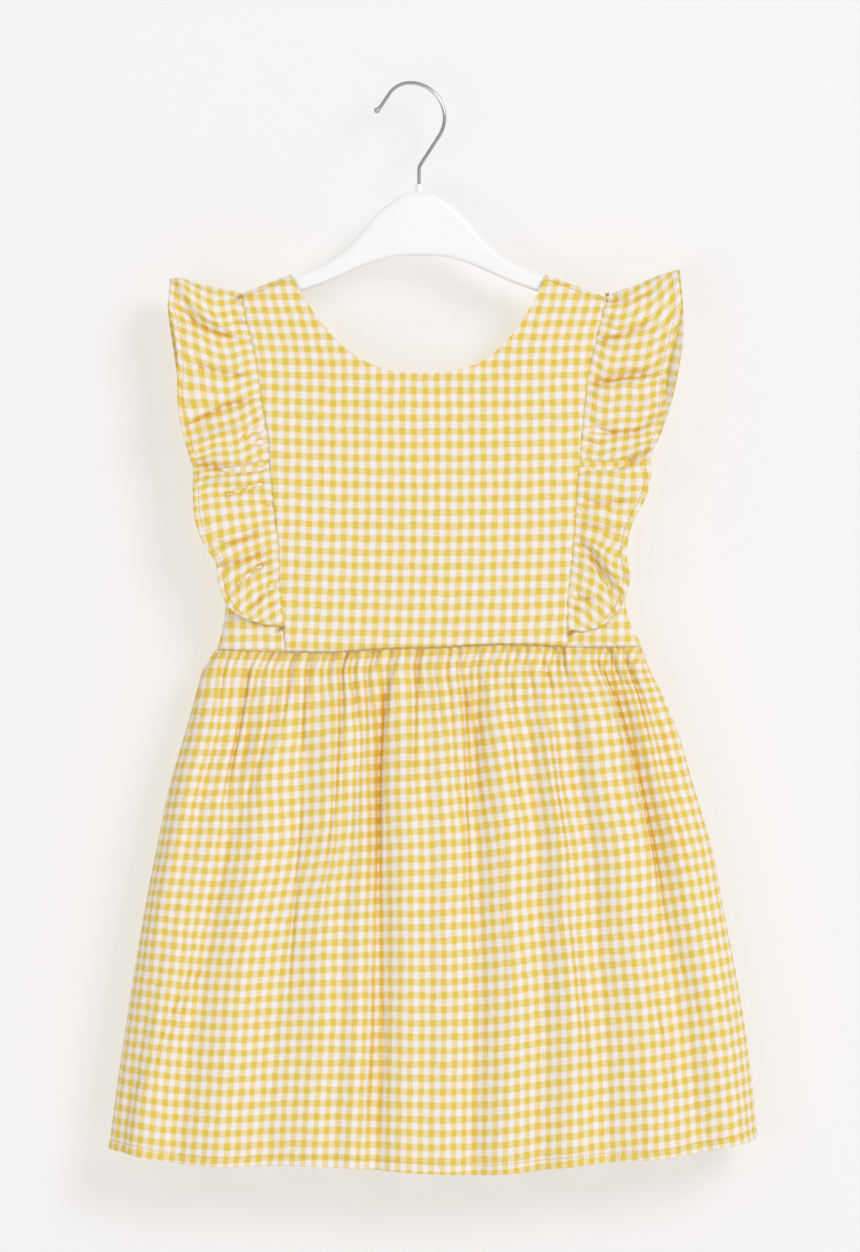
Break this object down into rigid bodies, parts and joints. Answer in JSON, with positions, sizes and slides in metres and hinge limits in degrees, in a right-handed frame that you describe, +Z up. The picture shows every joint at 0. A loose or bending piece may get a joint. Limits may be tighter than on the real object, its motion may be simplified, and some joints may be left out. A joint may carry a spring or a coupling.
{
  "type": "checked dress on hanger",
  "caption": "Child's sleeveless checked cotton dress with shoulder ruffles and a gathered skirt, hung on a moulded hanger with a wire hook.",
  "frame": {"origin": "the highest point inside the bend of the hanger's hook, where a rail carries it", "axes": "+Z up, +X across the dress towards its right side in the picture, -Y out of its front"},
  "size_m": [0.4409, 0.0593, 0.7416],
  "materials": {
    "checked_cotton": "woven yellow and white gingham, matte, slightly crinkled",
    "button": "pearly cream",
    "hanger_plastic": "smooth white moulding",
    "hook_steel": "bright wire"
  },
  "bodies": {
    "root": {"front_bodice": "checked_cotton", "front_side_left": "checked_cotton", "front_side_right": "checked_cotton", "back_bodice_left": "checked_cotton", "back_bodice_right": "checked_cotton", "back_side_left": "checked_cotton", "back_side_right": "checked_cotton", "ruffle_left": "checked_cotton", "ruffle_right": "checked_cotton", "skirt_front": "checked_cotton", "skirt_back": "checked_cotton", "button_loop": "checked_cotton", "back_button": "button", "hanger": "hanger_plastic", "hanger_hook": "hook_steel"}
  },
  "joints": []
}
